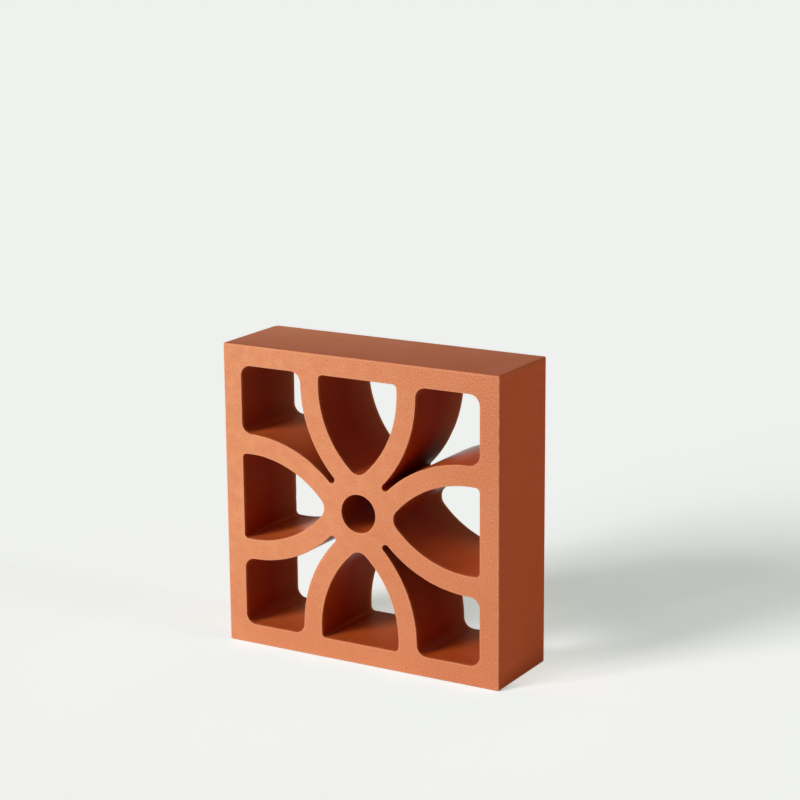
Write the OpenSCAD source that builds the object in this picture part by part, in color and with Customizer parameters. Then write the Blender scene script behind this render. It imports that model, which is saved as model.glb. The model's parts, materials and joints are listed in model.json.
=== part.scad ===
// Breeze block: a square screen block of fired clay that stands on its bed, one piece.
// Its pattern goes straight through: four petals and four corner openings, parted by curved
// arms that run from the frame to a hub with a round hole.
// X runs along the wall, Y through it from the face at -Y, and Z up from the middle of the bed.
// All sizes are in millimetres.

/* [Block] */
// Side of the square face
side = 290; // [270:1:320]
// Thickness of the block, from its face to its back
depth = 90; // [50:1:150]
// Wall of the frame, outside the openings
frame_wall = 19.5; // [14:0.5:28]
// Rounding of the outer arrises
arris_r = 1.5; // [0.5:0.5:5]

/* [Hub] */
// Diameter of the round hole in the middle
hole_d = 36; // [30:1:50]
// Wall between the hole and the tips of the openings
hub_wall = 19; // [16:0.5:26]

/* [Petals] */
// Width of a petal at its widest
petal_w = 82.5; // [70:0.5:95]
// Distance from the frame to where a petal is widest
petal_shoulder = 9.5; // [6:0.5:20]
// Rounding of a petal's tip at the hub
petal_tip_r = 11; // [5:0.5:15]
// Rounding of a petal's corners at the frame
petal_corner_r = 4; // [1:0.5:9]

/* [Corner openings] */
// Width of the curved arms between the petals and the corner openings
arm_w = 19.5; // [12:0.5:22]
// Rounding of a corner opening where an arm leaves the frame
arm_root_r = 10; // [3:0.5:16]
// Rounding of a corner opening in the block's own corner
corner_r = 10; // [3:0.5:25]

/* [Hidden] */
$fn = 192;

// How far each cutter runs past the face and the back
past = 10;
// Tightest rounding that the die can press
tightest_r = 1.5;

// The frame's inner face and the circle at which every opening ends, from the block's middle
frame_face = side / 2 - frame_wall;
hub_r = hole_d / 2 + hub_wall;

// A petal along +X has two sides of one radius that meet its tip smoothly.
// Each side's arc has its centre across the petal's middle line, in line with the widest place.
petal_wide_x = frame_face - petal_shoulder;
petal_tip_x = hub_r + petal_tip_r;
petal_side_r = ((petal_wide_x - petal_tip_x) ^ 2 + (petal_w / 2) ^ 2 - petal_tip_r ^ 2) / (petal_w - 2 * petal_tip_r);
petal_arc_y = petal_side_r - petal_w / 2;
petal_arc = [petal_wide_x, -petal_arc_y];

// An arm's other side shares the petal's centre, so the arm is equally wide all along.
arm_r = petal_side_r + arm_w;

// A corner opening's tip is a full round that touches both of its arms and ends at the hub.
// Where the arms come too close for it, the tip lies farther out, as tight as the die allows.
arc_along = (petal_arc.x + petal_arc.y) / sqrt(2);
arc_aside = (petal_arc.x - petal_arc.y) / sqrt(2);
hub_tip_at = (arc_along ^ 2 + arc_aside ^ 2 - (arm_r - hub_r) ^ 2) / (2 * (arc_along + arm_r - hub_r));
corner_tip_r = max(hub_tip_at - hub_r, tightest_r);
corner_tip_at = corner_tip_r > tightest_r
    ? hub_tip_at
    : arc_along + sqrt((arm_r + corner_tip_r) ^ 2 - arc_aside ^ 2);

// Point on the line x that lies at distance r from the centre of the petal's arc, on its upper side
function above_arc(x, r) = [x, petal_arc.y + sqrt(r ^ 2 - (x - petal_arc.x) ^ 2)];
function unit(v) = v / norm(v);

// What lies outside a corner's rounding, between the two directions in which it touches the sides
module corner_waste(centre, r, way_a, way_b) {
    reach = 2 * r;
    translate(centre) difference() {
        polygon([[0, 0], reach * way_a, reach * (way_a + way_b), reach * way_b]);
        circle(r = r);
    }
}

// One petal, along +X
module petal_outline() {
    tip = [petal_tip_x, 0];
    tip_end = petal_arc + petal_side_r * unit(tip - petal_arc);
    corner = above_arc(frame_face - petal_corner_r, petal_side_r - petal_corner_r);
    difference() {
        intersection() {
            translate(petal_arc) circle(r = petal_side_r);
            mirror([0, 1]) translate(petal_arc) circle(r = petal_side_r);
            translate([tip_end.x, -petal_w]) square([frame_face - tip_end.x, 2 * petal_w]);
        }
        for (flip = [0, 1]) mirror([0, flip])
            corner_waste(corner, petal_corner_r, [1, 0], unit(corner - petal_arc));
    }
    translate(tip) circle(r = petal_tip_r);
}

// One corner opening, between +X and +Y
module corner_outline() {
    tip = corner_tip_at * [1, 1] / sqrt(2);
    tip_end = petal_arc + arm_r * unit(tip - petal_arc);
    tip_line = tip_end.x + tip_end.y;
    root = above_arc(frame_face - arm_root_r, arm_r + arm_root_r);
    difference() {
        polygon([
            [frame_face, frame_face],
            [tip_line - frame_face, frame_face],
            [frame_face, tip_line - frame_face]
        ]);
        for (flip = [0, 1]) mirror([flip, -flip]) {
            translate(petal_arc) circle(r = arm_r);
            corner_waste(root, arm_root_r, [1, 0], unit(petal_arc - root));
        }
        corner_waste([1, 1] * (frame_face - corner_r), corner_r, [1, 0], [0, 1]);
    }
    translate(tip) circle(r = corner_tip_r);
}

// The whole pattern, with the hole's centre as its middle
module pattern_outline() {
    for (turn = [0 : 90 : 270]) rotate(turn) {
        petal_outline();
        corner_outline();
    }
}

// A rectangle with rounded corners
module rounded_outline(w, h) {
    square([w - 2 * arris_r, h], center = true);
    square([w, h - 2 * arris_r], center = true);
    for (x = [-1, 1]) for (y = [-1, 1])
        translate([x * (w / 2 - arris_r), y * (h / 2 - arris_r)]) circle(r = arris_r);
}

// The block without its openings: its outline from the face, from above and from the end, all rounded
module blank() {
    intersection() {
        rotate([90, 0, 0]) linear_extrude(depth, center = true) rounded_outline(side, side);
        linear_extrude(side, center = true) rounded_outline(side, depth);
        rotate([0, 90, 0]) linear_extrude(side, center = true) rounded_outline(side, depth);
    }
}

module breeze_block() {
    color([0.80, 0.50, 0.36]) translate([0, 0, side / 2]) difference() {
        blank();
        rotate([90, 0, 0]) linear_extrude(depth + 2 * past, center = true) pattern_outline();
        rotate([90, 0, 0]) cylinder(d = hole_d, h = depth + 2 * past, center = true);
    }
}

breeze_block();
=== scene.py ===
"""A breeze block of fired clay, standing on a pale floor under soft light from the front left."""

import json
import math

import bmesh
import bpy
from mathutils import Matrix, Vector, noise


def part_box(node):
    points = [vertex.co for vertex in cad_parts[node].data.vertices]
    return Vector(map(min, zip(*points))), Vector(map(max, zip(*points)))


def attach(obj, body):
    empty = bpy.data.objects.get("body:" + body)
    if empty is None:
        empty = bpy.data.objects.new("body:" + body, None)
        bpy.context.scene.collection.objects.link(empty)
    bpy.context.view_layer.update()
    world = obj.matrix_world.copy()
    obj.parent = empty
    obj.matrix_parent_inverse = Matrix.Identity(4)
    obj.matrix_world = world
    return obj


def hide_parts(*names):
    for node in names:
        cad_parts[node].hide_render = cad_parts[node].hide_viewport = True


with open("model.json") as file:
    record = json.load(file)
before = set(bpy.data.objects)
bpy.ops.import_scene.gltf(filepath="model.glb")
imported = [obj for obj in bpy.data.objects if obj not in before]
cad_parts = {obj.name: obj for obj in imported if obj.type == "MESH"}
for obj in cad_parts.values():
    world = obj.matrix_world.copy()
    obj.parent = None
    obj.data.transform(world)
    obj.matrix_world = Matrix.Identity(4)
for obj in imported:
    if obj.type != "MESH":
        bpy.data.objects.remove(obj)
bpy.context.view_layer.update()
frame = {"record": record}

NODE = "breeze_block"
BORE = next(m for m in frame["record"]["mounts"] if m["name"] == "centre_hole")

# ---------------------------------------------------------------- sizes, in metres

LOW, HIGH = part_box(NODE)
SIDE = HIGH.x - LOW.x
DEPTH = HIGH.y - LOW.y
MIDDLE = (LOW + HIGH) / 2

HOLE_R = BORE["dims"]["r_mm"] / 1000
FRAME_WALL = 0.0195     # wall of the frame, outside the openings
HUB_WALL = 0.019        # wall between the hole and the openings' tips
ARM_W = 0.0195          # width of the curved arms
PETAL_W = 0.0825        # width of a petal at its widest
PETAL_SHOULDER = 0.0095     # how far from the frame a petal is widest
PETAL_TIP_R = 0.011
PETAL_CORNER_R = 0.004
ARM_ROOT_R = 0.010      # rounding of a corner opening where an arm leaves the frame
CORNER_R = 0.010        # rounding of a corner opening in the block's own corner
ARRIS_R = 0.0015        # rounding of the block's outer arrises
MOUTH_R = 0.0005        # rounding of the openings' mouths

FRAME_FACE = SIDE / 2 - FRAME_WALL
HUB_R = HOLE_R + HUB_WALL

ONE_POINT = 1e-6        # points nearer to each other than this are one point
TOUCHING = 1e-5         # a point nearer to a side than this lies on it


# ---------------------------------------------------------------- outline of the pattern

LONGEST_STEP = 0.0022   # longest edge of an outline
WIDEST_STEP = math.radians(9)
FACEWISE = Vector((0, -1, 0))   # turns from +X towards +Z, seen from the face
QUARTER = math.radians(90)
EIGHTH = math.radians(45)


def heading(v):
    """The angle of a direction in the face, from +X towards +Z."""
    return math.atan2(v.z, v.x)


def carry(bm, start, steps, centre=(0, 0, 0), turn=0, stride=(0, 0, 0)):
    """Carries an outline on from its end vertex in even steps, and returns its new end."""
    made = bmesh.ops.spin(
        bm, geom=[start], cent=centre, axis=FACEWISE, angle=turn, dvec=stride, steps=steps,
    )
    return next(g for g in made["geom_last"] if isinstance(g, bmesh.types.BMVert))


def carry_round(bm, start, centre, turn):
    """Carries an outline on in an arc round a centre."""
    length = abs(turn) * (start.co - centre).length
    steps = math.ceil(max(length / LONGEST_STEP, abs(turn) / WIDEST_STEP))
    return carry(bm, start, steps, centre=centre, turn=turn)


def carry_straight(bm, start, end):
    """Carries an outline straight on to another point."""
    way = end - start.co
    steps = math.ceil(way.length / LONGEST_STEP)
    return carry(bm, start, steps, stride=way / steps)


def petal_arc():
    """Centre and radius of a petal's side, for the petal along +X."""
    wide = FRAME_FACE - PETAL_SHOULDER
    along = wide - HUB_R - PETAL_TIP_R
    radius = (along ** 2 + (PETAL_W / 2) ** 2 - PETAL_TIP_R ** 2) / (PETAL_W - 2 * PETAL_TIP_R)
    return Vector((wide, 0, PETAL_W / 2 - radius)), radius


def point_above(centre, radius, x):
    """The point at that x on the upper side of a circle."""
    return Vector((x, 0, centre.z + math.sqrt(radius ** 2 - (x - centre.x) ** 2)))


def petal_half(bm):
    """Half the petal along +X: its tip, its side, its corner and half its flat end."""
    centre, radius = petal_arc()
    tip = Vector((HUB_R + PETAL_TIP_R, 0, 0))
    corner = point_above(centre, radius - PETAL_CORNER_R, FRAME_FACE - PETAL_CORNER_R)
    point = bm.verts.new((HUB_R, 0, 0))
    point = carry_round(bm, point, tip, heading(tip - centre) - math.pi)
    point = carry_round(bm, point, centre, heading(corner - centre) - heading(tip - centre))
    point = carry_round(bm, point, corner, -heading(corner - centre))
    carry_straight(bm, point, Vector((FRAME_FACE, 0, 0)))


def corner_half(bm):
    """Half the corner opening, below its diagonal: its tip, an arm's side, its root and the frame's side."""
    centre, radius = petal_arc()
    radius += ARM_W
    diagonal = Vector((1, 0, 1)).normalized()
    along = centre.dot(diagonal)
    tip_at = (centre.length_squared - (radius - HUB_R) ** 2) / (2 * (along + radius - HUB_R))
    tip = diagonal * tip_at
    root = point_above(centre, radius + ARM_ROOT_R, FRAME_FACE - ARM_ROOT_R)
    corner = Vector((1, 0, 1)) * (FRAME_FACE - CORNER_R)
    point = bm.verts.new(diagonal * HUB_R)
    point = carry_round(bm, point, tip, heading(centre - tip) + QUARTER + EIGHTH)
    point = carry_round(bm, point, centre, heading(root - centre) - heading(tip - centre))
    point = carry_round(bm, point, root, -heading(centre - root))
    point = carry_straight(bm, point, corner + Vector((CORNER_R, 0, 0)))
    carry_round(bm, point, corner, EIGHTH)


def whole_outline(half, tilt):
    """A closed outline from one half of it, mirrored in a line at that tilt."""
    bm = bmesh.new()
    half(bm)
    level = Matrix.Rotation(-tilt, 3, FACEWISE)
    bmesh.ops.rotate(bm, verts=bm.verts, cent=(0, 0, 0), matrix=level)
    bmesh.ops.mirror(
        bm, geom=bm.verts[:] + bm.edges[:], matrix=Matrix(), merge_dist=ONE_POINT, axis="Z",
    )
    bmesh.ops.remove_doubles(bm, verts=bm.verts, dist=ONE_POINT)
    bmesh.ops.rotate(bm, verts=bm.verts, cent=(0, 0, 0), matrix=level.inverted())
    return bm


def add(bm, part):
    """Adds one bmesh to another and frees it."""
    mesh = bpy.data.meshes.new("part")
    part.to_mesh(mesh)
    part.free()
    bm.from_mesh(mesh)
    bpy.data.meshes.remove(mesh)


def face_outlines():
    """All outlines of the block's face, about its middle: openings, hole and square."""
    bm = bmesh.new()
    add(bm, whole_outline(petal_half, 0))
    add(bm, whole_outline(corner_half, EIGHTH))
    bmesh.ops.spin(
        bm, geom=bm.verts[:] + bm.edges[:], cent=(0, 0, 0), axis=FACEWISE,
        angle=3 * QUARTER, steps=3, use_duplicate=True,
    )
    upright = Matrix.Rotation(QUARTER, 4, "X")
    ring_steps = math.ceil(math.tau * HOLE_R / LONGEST_STEP)
    bmesh.ops.create_circle(bm, segments=ring_steps, radius=HOLE_R, matrix=upright)
    point = first = bm.verts.new((SIDE / 2, 0, SIDE / 2))
    for x, z in ((-1, 1), (-1, -1), (1, -1), (1, 1)):
        point = carry_straight(bm, point, Vector((x, 0, z)) * (SIDE / 2))
    bmesh.ops.remove_doubles(bm, verts=[first, point], dist=ONE_POINT)
    return bm


# ---------------------------------------------------------------- the block's body

BAND = 0.002            # a row of faces along each outline, that the roundings are cut from
ROWS = 18               # rows of faces through the block
SQUARE_ON = 0.5         # a mesh face turned this far to the front or back is part of a cut face
PALE_TURN = 0.65        # a point of an arris turned this far is as pale as the cut faces
SHARP = 1               # an edge of the outer sides that turns more radians than this is an arris

WEAR_WAVES = 140        # how closely the wear along the arrises wavers
WEAR_SEED = Vector((3.1, 7.7, 1.3))
WEAR_DEPTH = 0.00003
CHIP_WAVES = 75         # how closely the chips may follow one another
CHIP_SEED = Vector((11.9, 2.4, 5.6))
CHIP_DEPTH = 0.0010
CHIP_RARITY = 0.48      # higher leaves fewer and smaller chips
KNOCKED_CORNER = Vector((-SIDE / 2, DEPTH / 2, SIDE / 2))
KNOCK_DEPTH = 0.0023


def across(edge):
    """How far an edge runs through the block."""
    return abs(edge.verts[0].co.y - edge.verts[1].co.y)


def is_arris(edge):
    """Whether an edge lies between a face of the block and a wall."""
    if len(edge.link_faces) != 2:
        return False
    a, b = (abs(f.normal.y) > SQUARE_ON for f in edge.link_faces)
    return a != b


def on_outside(v, depth=TOUCHING):
    """Whether a point lies on the block's four outer sides, or within a depth of them."""
    return max(abs(v.co.x), abs(v.co.z)) > SIDE / 2 - depth


def on_face(v):
    """Whether a point lies on one of the two cut faces."""
    return abs(v.co.y) > DEPTH / 2 - ONE_POINT


def on_arris(v):
    """Whether a point lies on an arris, or on a cut face right beside one."""
    if on_face(v):
        return any(not on_face(e.other_vert(v)) for e in v.link_edges)
    return DEPTH / 2 - abs(v.co.y) < ARRIS_R - TOUCHING


def sharp_body():
    """The block about its middle, with its pattern cut through and its edges still sharp."""
    bm = face_outlines()
    bmesh.ops.triangle_fill(bm, use_beauty=True, use_dissolve=True, edges=bm.edges[:], normal=FACEWISE)
    bmesh.ops.inset_region(
        bm, faces=bm.faces[:], thickness=BAND, use_boundary=True, use_even_offset=True,
    )
    bmesh.ops.translate(bm, verts=bm.verts, vec=(0, -DEPTH / 2, 0))
    made = bmesh.ops.extrude_face_region(bm, geom=bm.faces[:], use_keep_orig=True)
    back = [g for g in made["geom"] if isinstance(g, bmesh.types.BMVert)]
    bmesh.ops.translate(bm, verts=back, vec=(0, DEPTH, 0))
    bmesh.ops.recalc_face_normals(bm, faces=bm.faces)
    through = [e for e in bm.edges if across(e) > DEPTH / 2]
    bmesh.ops.subdivide_edges(bm, edges=through, cuts=ROWS - 1, use_grid_fill=True)
    bm.normal_update()
    return bm


def round_edges(bm, edges, radius, segments):
    """Rounds edges to a radius, in that many strips."""
    bmesh.ops.bevel(
        bm, geom=edges, offset=radius, offset_type="OFFSET", segments=segments, profile=0.5,
        affect="EDGES", clamp_overlap=True, material=-1,
    )
    bm.normal_update()


def mark_finishes(bm):
    """Marks, point by point, the cut faces, the arrises and the outer sides, for the material."""
    cut = bm.verts.layers.float.new("cut")
    arris = bm.verts.layers.float.new("arris")
    outside = bm.verts.layers.float.new("outside")
    bm.normal_update()
    for v in bm.verts:
        v[cut] = float(on_face(v) or on_arris(v) and abs(v.normal.y) > PALE_TURN)
        v[arris] = float(on_arris(v))
        v[outside] = float(on_outside(v, ARRIS_R) and not v[cut])


def wear_arrises(bm):
    """Rubs the arrises down a little, unevenly, with a few small chips."""
    bm.normal_update()
    rubbed = [v for v in bm.verts if on_arris(v) and not on_face(v)]
    for v in rubbed:
        waver = noise.noise(v.co * WEAR_WAVES + WEAR_SEED)
        chip = noise.noise(v.co * CHIP_WAVES + CHIP_SEED)
        v.co -= v.normal * (WEAR_DEPTH * max(0, waver) + CHIP_DEPTH * max(0, chip - CHIP_RARITY))


def knock_corner(bm):
    """Flattens the one corner that has been knocked."""
    outward = Vector([math.copysign(1, c) for c in KNOCKED_CORNER]).normalized()
    for v in bm.verts:
        past = (v.co - KNOCKED_CORNER).dot(outward) + KNOCK_DEPTH
        v.co -= outward * max(0, past)


def body_mesh():
    """The whole block, in its place."""
    bm = sharp_body()
    mouths = [e for e in bm.edges if is_arris(e) and not all(on_outside(v) for v in e.verts)]
    round_edges(bm, mouths, MOUTH_R, segments=3)
    outer = [e for e in bm.edges if all(on_outside(v) for v in e.verts) and e.calc_face_angle(0) > SHARP]
    round_edges(bm, outer, ARRIS_R, segments=4)
    mark_finishes(bm)
    wear_arrises(bm)
    knock_corner(bm)
    bmesh.ops.translate(bm, verts=bm.verts, vec=MIDDLE)
    mesh = bpy.data.meshes.new("block")
    bm.to_mesh(mesh)
    bm.free()
    return mesh


# ---------------------------------------------------------------- building a look from nodes

class Look:
    """The nodes of a material or of the world, with the steps that its look is built from."""

    def __init__(self, owner):
        owner.use_nodes = True
        self.nodes = owner.node_tree.nodes
        self.links = owner.node_tree.links

    def feed(self, socket, value):
        """Gives a socket its value: another node's output, a number, or a colour."""
        if isinstance(value, bpy.types.NodeSocket):
            self.links.new(value, socket)
        elif isinstance(value, tuple):
            socket.default_value = (*value, 1)
        else:
            socket.default_value = value

    def coordinates(self, kind):
        """Where a point is on the object, or which way the surface faces there."""
        return self.nodes.new("ShaderNodeTexCoord").outputs[kind]

    def axes(self, vector):
        """The X, Y and Z of a vector."""
        node = self.nodes.new("ShaderNodeSeparateXYZ")
        self.feed(node.inputs["Vector"], vector)
        return node.outputs

    def marked(self, name):
        """A value that the body's points carry."""
        node = self.nodes.new("ShaderNodeAttribute")
        node.attribute_name = name
        return node.outputs["Fac"]

    def clouds(self, place, size, detail=2, roughness=0.5, stretch=(1, 1, 1), shift=(0, 0, 0)):
        """Cloudy noise, its blotches about as big as that size in metres."""
        spread = self.nodes.new("ShaderNodeMapping")
        spread.inputs["Scale"].default_value = [1 / (size * s) for s in stretch]
        spread.inputs["Location"].default_value = shift
        self.feed(spread.inputs["Vector"], place)
        cloud = self.nodes.new("ShaderNodeTexNoise")
        self.feed(cloud.inputs["Scale"], 1)
        self.feed(cloud.inputs["Detail"], detail)
        self.feed(cloud.inputs["Roughness"], roughness)
        self.feed(cloud.inputs["Vector"], spread.outputs["Vector"])
        return cloud.outputs["Fac"]

    def ranged(self, value, low, high, to=(0, 1), smooth=False):
        """A value carried from one range into another, and kept within it."""
        node = self.nodes.new("ShaderNodeMapRange")
        node.interpolation_type = "SMOOTHSTEP" if smooth else "LINEAR"
        self.feed(node.inputs["Value"], value)
        self.feed(node.inputs["From Min"], low)
        self.feed(node.inputs["From Max"], high)
        self.feed(node.inputs["To Min"], to[0])
        self.feed(node.inputs["To Max"], to[1])
        return node.outputs["Result"]

    def combined(self, operation, first, second=0):
        """One step of arithmetic on two values, or on the first alone."""
        node = self.nodes.new("ShaderNodeMath")
        node.operation = operation
        self.feed(node.inputs[0], first)
        self.feed(node.inputs[1], second)
        return node.outputs[0]

    def times(self, first, *others):
        """All of these values multiplied together."""
        for other in others:
            first = self.combined("MULTIPLY", first, other)
        return first

    def mixed(self, share, first, second, kind="RGBA"):
        """The first of two colours or values, with that share of the second."""
        node = self.nodes.new("ShaderNodeMix")
        node.data_type = kind
        self.feed(node.inputs["Factor"], share)
        self.feed(node.inputs["A"], first)
        self.feed(node.inputs["B"], second)
        return node.outputs["Result"]

    def bumped(self, height, strength, distance, under=None):
        """A surface with that height on it, over another such surface where one is given."""
        node = self.nodes.new("ShaderNodeBump")
        self.feed(node.inputs["Strength"], strength)
        self.feed(node.inputs["Distance"], distance)
        self.feed(node.inputs["Height"], height)
        if under is not None:
            self.feed(node.inputs["Normal"], under)
        return node.outputs["Normal"]


# ---------------------------------------------------------------- fired clay

PALE_CUT = (0.73, 0.294, 0.142)
DEEP_CUT = (0.56, 0.189, 0.086)
REDDER_CUT = (0.60, 0.185, 0.078)
SAND_GRAIN = (0.92, 0.52, 0.32)
DARK_GRAIN = (0.38, 0.10, 0.035)
PORE = (0.22, 0.05, 0.02)
SKIN = (0.49, 0.070, 0.008)
DEEP_SKIN = (0.43, 0.052, 0.005)
BROWN_SKIN = (0.43, 0.062, 0.008)
SKIN_GRAIN = (0.55, 0.115, 0.028)
# dust and painted sheen on the block's top
TOP_DUST_AND_SHEEN = (0.85, 0.63, 0.41)
# sand on the ledges, and painted light on upward faces
LEDGE_SAND_AND_LIGHT = (0.79, 0.235, 0.075)
# painted light from behind, on the inner walls towards the rear
REAR_PAINTED_LIGHT = (1.0, 0.60, 0.24)
# painted shade in the openings' depths and round the hub
PAINTED_SHADE_SKIN = (0.20, 0.012, 0.001)
# painted highlight along the arrises
ARRIS_HIGHLIGHT = (0.86, 0.42, 0.235)
DARKER_FOOT = (0.16, 0.022, 0.004)

SAND_SIZE = 0.00125     # about how big the grains, streaks and blotches are, in metres
DRAWN_SIZE = 0.005
DRAWN_STRETCH = (1, 14, 1)      # long through the block, the way the clay left the die
MOTTLE_SIZE = 0.011
BLOTCH_SIZE = 0.028
CLOUD_SIZE = 0.14
CLOUD_SHIFT = (0, -2.3, 3)      # which part of the slow clouds of tone lies on the block
PORES_PER_METRE = 150
PORE_PATCH = 0.02

PAINTED_FALLOFF_RIGHT = 3.1      # how fast the painted light falloff deepens the cut faces to the right
PAINTED_LIGHT_UP = 1.65         # how fast the painted light pales them upwards
SANDIER_UP = 0.84       # how fast the grain grows upwards, against 1 to the right
SANDIER_FROM = -0.145   # that measure at the bottom left corner, and at the top right one
SANDIER_TO = 0.389
LEAST_GRAIN = 0.155     # how strong the grain is there
MOST_GRAIN = 0.485
SHADE_REACH = 0.042     # how far the painted shade reaches from the middle of the depth
HUB_DARK = 0.0003       # the square of how far from the hub's middle the painted shade is at its darkest
HUB_CLEAR = 0.005       # the square of how far from it that has faded out
DUST_AND_SHEEN_DEPTH = (0.0012, 0.0004)   # the top's dusty painted sheen grows between these depths under the top
FOOT_HEIGHT = 0.02      # how high the darkening at the foot reaches


def pore_spots(look, place):
    """Small pores, in patches here and there."""
    cells = look.nodes.new("ShaderNodeTexVoronoi")
    look.feed(cells.inputs["Scale"], PORES_PER_METRE)
    look.feed(cells.inputs["Vector"], place)
    patches = look.clouds(place, PORE_PATCH, detail=0)
    return look.times(
        look.ranged(cells.outputs["Distance"], 0.05, 0.10, to=(1, 0), smooth=True),
        look.ranged(patches, 0.55, 0.62),
    )


def cut_faces(look, place, sand, mottle, pore):
    """The cut faces' colour: mottled and sandy, with pores, and deeper to the right and lower down as
    painted light falloff.
    """
    axes = look.axes(place)
    cloud = look.clouds(place, CLOUD_SIZE, detail=1, shift=CLOUD_SHIFT)
    # painted light falloff: deeper to the right, paler upwards, with a slow cloud of tone over it
    deeper = look.times(axes["X"], PAINTED_FALLOFF_RIGHT)
    deeper = look.combined("SUBTRACT", deeper, look.times(axes["Z"], PAINTED_LIGHT_UP))
    deeper = look.combined("ADD", deeper, look.ranged(cloud, 0.2, 0.8, to=(0.98, 0.47)))
    colour = look.mixed(deeper, PALE_CUT, DEEP_CUT)
    colour = look.mixed(look.ranged(mottle, 0.34, 0.66, to=(0, 0.42)), colour, REDDER_CUT)

    sandier = look.combined("ADD", look.times(axes["Z"], SANDIER_UP), axes["X"])
    grain = look.ranged(sandier, SANDIER_FROM, SANDIER_TO, to=(LEAST_GRAIN, MOST_GRAIN))
    pale_grain = look.times(look.ranged(sand, 0.52, 0.74, to=(0, 0.85)), grain)
    dark_grain = look.times(look.ranged(sand, 0.48, 0.26, to=(0, 1.7)), grain)
    colour = look.mixed(pale_grain, colour, SAND_GRAIN)
    colour = look.mixed(dark_grain, colour, DARK_GRAIN)
    return look.mixed(look.times(pore, 0.6), colour, PORE)


def pressed_skin(look, sand, drawn, blotch):
    """The pressed skin's own colour: drawn the way the clay left the die, and blotchy."""
    colour = look.mixed(look.ranged(drawn, 0.3, 0.7, to=(0, 0.5)), SKIN, DEEP_SKIN)
    colour = look.mixed(look.ranged(blotch, 0.35, 0.7, to=(0, 0.5)), colour, BROWN_SKIN)
    return look.mixed(look.ranged(sand, 0.6, 0.8, to=(0, 0.2)), colour, SKIN_GRAIN)


def sanded_and_lit(look, colour, axes, upward, inside):
    """The skin with sand fallen on its ledges and painted light on its upward faces, more to the left and
    the back, and painted light from behind at the rear.
    """
    # sand and painted light on upward faces, more at the left and the back
    left = look.ranged(axes["X"], -0.14, 0.10, to=(0.40, 0.12))
    back = look.ranged(axes["Y"], -DEPTH / 2, DEPTH / 2, to=(0.4, 1.6))
    colour = look.mixed(look.times(upward, left, back), colour, LEDGE_SAND_AND_LIGHT)
    # painted light from behind: the inner walls pale towards the rear
    rear = look.ranged(axes["Y"], 0, DEPTH / 2, to=(0, 0.20))
    return look.mixed(look.times(rear, inside), colour, REAR_PAINTED_LIGHT)


def with_painted_shade(look, colour, axes, upward, inside):
    """The skin with painted shade: halfway through the openings, and round the hub."""
    halfway = look.ranged(look.combined("ABSOLUTE", axes["Y"]), 0, SHADE_REACH, to=(1, 0))
    left = look.ranged(axes["X"], -0.06, 0.09, to=(0.27, 0.11))
    off_ledges = look.combined("SUBTRACT", 1, upward)
    colour = look.mixed(look.times(halfway, left, inside, off_ledges), colour, PAINTED_SHADE_SKIN)
    height = look.combined("SUBTRACT", axes["Z"], MIDDLE.z)
    away = look.combined("ADD", look.times(axes["X"], axes["X"]), look.times(height, height))
    hub = look.ranged(away, HUB_DARK, HUB_CLEAR, to=(0.5, 0))
    hub = look.times(hub, look.ranged(upward, 0, 1, to=(1, 0.4)))
    return look.mixed(hub, colour, PAINTED_SHADE_SKIN)


def top_and_foot(look, colour, axes, blotch, outside):
    """The skin with a dusty painted sheen on the block's top, and darker at its foot."""
    near_top = [SIDE - depth for depth in DUST_AND_SHEEN_DEPTH]
    # dust and painted sheen on the top face
    dust_and_sheen = look.ranged(axes["Z"], *near_top, to=(1.5, 3.3), smooth=True)
    dust_and_sheen = look.times(dust_and_sheen, look.ranged(blotch, 0.3, 0.7, to=(0.026, 0.034)), outside)
    colour = look.mixed(dust_and_sheen, colour, TOP_DUST_AND_SHEEN)
    foot = look.ranged(axes["Z"], 0, FOOT_HEIGHT, to=(0.35, 0), smooth=True)
    return look.mixed(look.times(foot, outside), colour, DARKER_FOOT)


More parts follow.
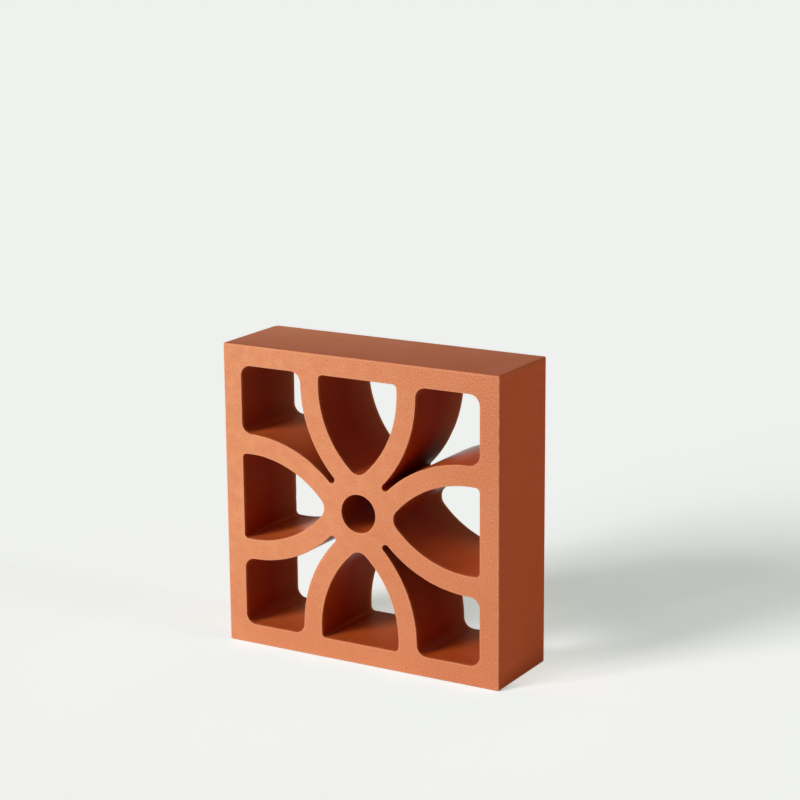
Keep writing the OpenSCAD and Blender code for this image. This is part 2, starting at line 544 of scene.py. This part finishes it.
def terracotta():
    """Fired clay: paler and sandy where the wire cut it, redder and smoother where the die pressed it."""
    material = bpy.data.materials.new("terracotta")
    look = Look(material)
    shader = look.nodes["Principled BSDF"]
    place = look.coordinates("Object")
    axes = look.axes(place)
    cut = look.marked("cut")
    outside = look.marked("outside")
    inside = look.combined("SUBTRACT", 1, outside)
    upward = look.ranged(look.axes(look.coordinates("Normal"))["Z"], 0.4, 0.9, smooth=True)
    sand = look.clouds(place, SAND_SIZE, roughness=0.6)
    mottle = look.clouds(place, MOTTLE_SIZE, detail=3)
    drawn = look.clouds(place, DRAWN_SIZE, detail=3, stretch=DRAWN_STRETCH)
    blotch = look.clouds(place, BLOTCH_SIZE, detail=3)
    pore = pore_spots(look, place)

    skin = pressed_skin(look, sand, drawn, blotch)
    skin = sanded_and_lit(look, skin, axes, upward, inside)
    skin = with_painted_shade(look, skin, axes, upward, inside)
    skin = top_and_foot(look, skin, axes, blotch, outside)
    colour = look.mixed(cut, skin, cut_faces(look, place, sand, mottle, pore))
    # painted highlight: the arrises paler, as where their rounding catches the light
    arris_highlight = look.times(look.marked("arris"), look.ranged(mottle, 0.35, 0.65, to=(0.06, 0.24)))
    look.feed(shader.inputs["Base Color"], look.mixed(arris_highlight, colour, ARRIS_HIGHLIGHT))

    skin_roughness = look.ranged(blotch, 0.3, 0.7, to=(0.42, 0.54))
    cut_roughness = look.ranged(mottle, 0.3, 0.7, to=(0.78, 0.9))
    roughness = look.mixed(cut, skin_roughness, cut_roughness, kind="FLOAT")
    weight = look.nodes.new("ShaderNodeLayerWeight")
    look.feed(weight.inputs["Blend"], 0.5)
    grazing = weight.outputs["Facing"]
    sheen = look.ranged(grazing, 0.77, 0.95, to=(0.02, 0.5), smooth=True)
    smoother = look.ranged(grazing, 0.82, 0.98, to=(1.0, 0.6), smooth=True)
    look.feed(shader.inputs["Specular IOR Level"], sheen)
    look.feed(shader.inputs["Roughness"], look.times(roughness, smoother))

    grain = look.times(sand, look.ranged(cut, 0, 1, to=(0.18, 1)))
    grain = look.combined("SUBTRACT", grain, look.times(pore, cut))
    relief = look.bumped(grain, strength=0.5, distance=0.00025)
    lines = look.times(drawn, look.ranged(cut, 0, 1, to=(1, 0)))
    relief = look.bumped(lines, strength=0.25, distance=0.0004, under=relief)
    look.feed(shader.inputs["Normal"], relief)
    return material


# ---------------------------------------------------------------- floor and backdrop

BACKDROP_TONE = (0.981, 1.0, 0.972)
BACKDROP = 0.888        # how bright the camera sees the backdrop
REFLECTED = 0.88        # how bright the clay's sheen sees it
AMBIENT = 0.02          # how much light it sends
FLOOR_SIZE = 30

PAPER = (0.838, 0.821, 0.844)
FLOOR_LIFT = 0.451
LIFT_TONE = (0.94, 1.0, 0.925)
COOLER_LIFT = (0.646, 0.94, 0.934)
GLOW_REACH = 0.315      # how far before the block its warm light shows on the floor
GLOW_FADE = 2.4         # how steeply it fades
GLOW_SIDES = (0.06, 0.26)       # how far to either side it is full, and where it ends
# painted light on the floor, lifting the shadow beside the block's right foot
FOOT_LIFT = (1.34, 1.42, 1.34)
FOOT_INWARD = 0.085     # how far inside the block's right end the softer shadow starts
FOOT_OUTWARD = (0.02, 0.11)     # how far outside that end it is full, and where it ends
FOOT_BACK = (0.01, 0.19)        # the same, behind the middle of the block's depth
SHADOW_SLANT = 1.55     # how the shadow's near edge leaves the block's right end
SHADOW_EDGE = (-0.285, -0.235)
SOFT_EDGE = 0.03        # how far behind the block's face the glow ends and the softer shadow is full


def set_world():
    """A plain pale room: the camera sees the backdrop's tone, reflections see it dimmer."""
    world = bpy.data.worlds.new("studio")
    look = Look(world)
    rays = look.nodes.new("ShaderNodeLightPath")
    background = look.nodes["Background"]
    unseen = look.ranged(rays.outputs["Is Glossy Ray"], 0, 1, to=(AMBIENT, REFLECTED))
    strength = look.ranged(rays.outputs["Is Camera Ray"], 0, 1, to=(unseen, BACKDROP))
    look.feed(background.inputs["Color"], BACKDROP_TONE)
    look.feed(background.inputs["Strength"], strength)
    bpy.context.scene.world = world


def before_block(look, axes):
    """Where the clay's warm light falls on the floor: before the block, fading outwards."""
    before = look.ranged(axes["Y"], LOW.y - GLOW_REACH, LOW.y)
    glow = look.combined("POWER", before, GLOW_FADE)
    sides = look.ranged(look.combined("ABSOLUTE", axes["X"]), *GLOW_SIDES, to=(1, 0), smooth=True)
    behind = look.ranged(axes["Y"], LOW.y, LOW.y + SOFT_EDGE, to=(1, 0))
    return look.times(glow, sides, behind)


def beside_foot(look, axes):
    """Where the lift paints the shadow lighter: on the floor beside the block's right foot."""
    slant = look.combined("ADD", look.times(axes["X"], -SHADOW_SLANT), axes["Y"])
    outward = [HIGH.x + reach for reach in FOOT_OUTWARD]
    back = [MIDDLE.y + reach for reach in FOOT_BACK]
    return look.times(
        look.ranged(slant, *SHADOW_EDGE, smooth=True),
        look.ranged(axes["X"], HIGH.x - FOOT_INWARD, HIGH.x, smooth=True),
        look.ranged(axes["X"], *outward, to=(1, 0), smooth=True),
        look.ranged(axes["Y"], LOW.y, LOW.y + SOFT_EDGE, smooth=True),
        look.ranged(axes["Y"], *back, to=(1, 0), smooth=True),
    )


def floor_material():
    """A pale matte floor, which the camera and the clay's sheen see lifted to the backdrop's tone.

    The lift is cooler just before the block, where the clay's warm light falls on the floor,
    and stronger beside its right end, where it paints the shadow lighter near the foot.
    """
    material = bpy.data.materials.new("floor_paper")
    look = Look(material)
    shader = look.nodes["Principled BSDF"]
    axes = look.axes(look.coordinates("Object"))
    rays = look.nodes.new("ShaderNodeLightPath")
    seen = look.combined("MAXIMUM", rays.outputs["Is Camera Ray"], rays.outputs["Is Glossy Ray"])
    tone = look.mixed(before_block(look, axes), LIFT_TONE, COOLER_LIFT)
    tone = look.mixed(beside_foot(look, axes), tone, FOOT_LIFT)
    look.feed(shader.inputs["Base Color"], PAPER)
    look.feed(shader.inputs["Roughness"], 0.9)
    look.feed(shader.inputs["Specular IOR Level"], 0.0)
    look.feed(shader.inputs["Emission Color"], tone)
    look.feed(shader.inputs["Emission Strength"], look.times(seen, FLOOR_LIFT))
    return material


def set_floor():
    """The floor that the block stands on: stage, not part of it."""
    bm = bmesh.new()
    bmesh.ops.create_grid(bm, x_segments=1, y_segments=1, size=FLOOR_SIZE)
    mesh = bpy.data.meshes.new("floor")
    bm.to_mesh(mesh)
    bm.free()
    floor = bpy.data.objects.new("floor", mesh)
    mesh.materials.append(floor_material())
    bpy.context.scene.collection.objects.link(floor)


# ---------------------------------------------------------------- light and camera

LAMP_DISTANCE = 2       # where the lamps stand in the file; their light comes from far off
SENSOR_WIDTH = 36
LENS = 102.69
CAMERA_AT = (1.04583, -1.74395, 0.73813)
CAMERA_AZIMUTH = math.radians(30.4987)
CAMERA_ELEVATION = math.radians(13.7071)
CAMERA_ROLL = math.radians(-0.4697)


def toward(azimuth, elevation):
    """The direction that lies that far round from the face to the right, and that high."""
    return Vector((
        math.sin(azimuth) * math.cos(elevation),
        -math.cos(azimuth) * math.cos(elevation),
        math.sin(elevation),
    ))


def set_sun(name, strength, width, left, up):
    """A soft light as far off as the sun: how wide it looks, how far left of the face, how high."""
    lamp = bpy.data.lights.new(name, "SUN")
    lamp.energy = strength
    lamp.angle = math.radians(width)
    sun = bpy.data.objects.new(name, lamp)
    back = toward(math.radians(-left), math.radians(up))
    sun.rotation_mode = "QUATERNION"
    sun.rotation_quaternion = back.to_track_quat("Z", "Y")
    sun.location = MIDDLE + back * LAMP_DISTANCE
    bpy.context.scene.collection.objects.link(sun)


def set_camera():
    """A long lens, to the right of the face and a little above it."""
    data = bpy.data.cameras.new("camera")
    data.sensor_width = SENSOR_WIDTH
    data.lens = LENS
    camera = bpy.data.objects.new("camera", data)
    back = toward(CAMERA_AZIMUTH, CAMERA_ELEVATION)
    turn = back.to_track_quat("Z", "Y").to_matrix() @ Matrix.Rotation(CAMERA_ROLL, 3, "Z")
    camera.matrix_world = Matrix.Translation(CAMERA_AT) @ turn.to_4x4()
    bpy.context.scene.collection.objects.link(camera)
    bpy.context.scene.camera = camera


# ---------------------------------------------------------------- the scene

CREASE = math.radians(50)   # edges that turn more than this stay sharp to the eye

bpy.context.scene.view_settings.view_transform = "Standard"
set_world()
set_floor()
set_sun("key", strength=2.56, width=21, left=30.5, up=25.5)
set_sun("soft key", strength=0.9, width=22, left=16, up=20)
set_sun("fill", strength=0.98, width=8, left=-90.5, up=5)
set_sun("top light", strength=0.06, width=40, left=0, up=85)
set_sun("rear light", strength=0.5, width=3, left=180, up=2.5)
set_camera()

block = bpy.data.objects.new("block", body_mesh())
block.data.materials.append(terracotta())
bpy.context.scene.collection.objects.link(block)
for polygon in block.data.polygons:
    polygon.use_smooth = True
block.data.set_sharp_from_angle(angle=CREASE)
weighted = block.modifiers.new("flat faces", "WEIGHTED_NORMAL")
weighted.mode = "FACE_AREA"
weighted.keep_sharp = True
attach(block, "root")
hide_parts(NODE)
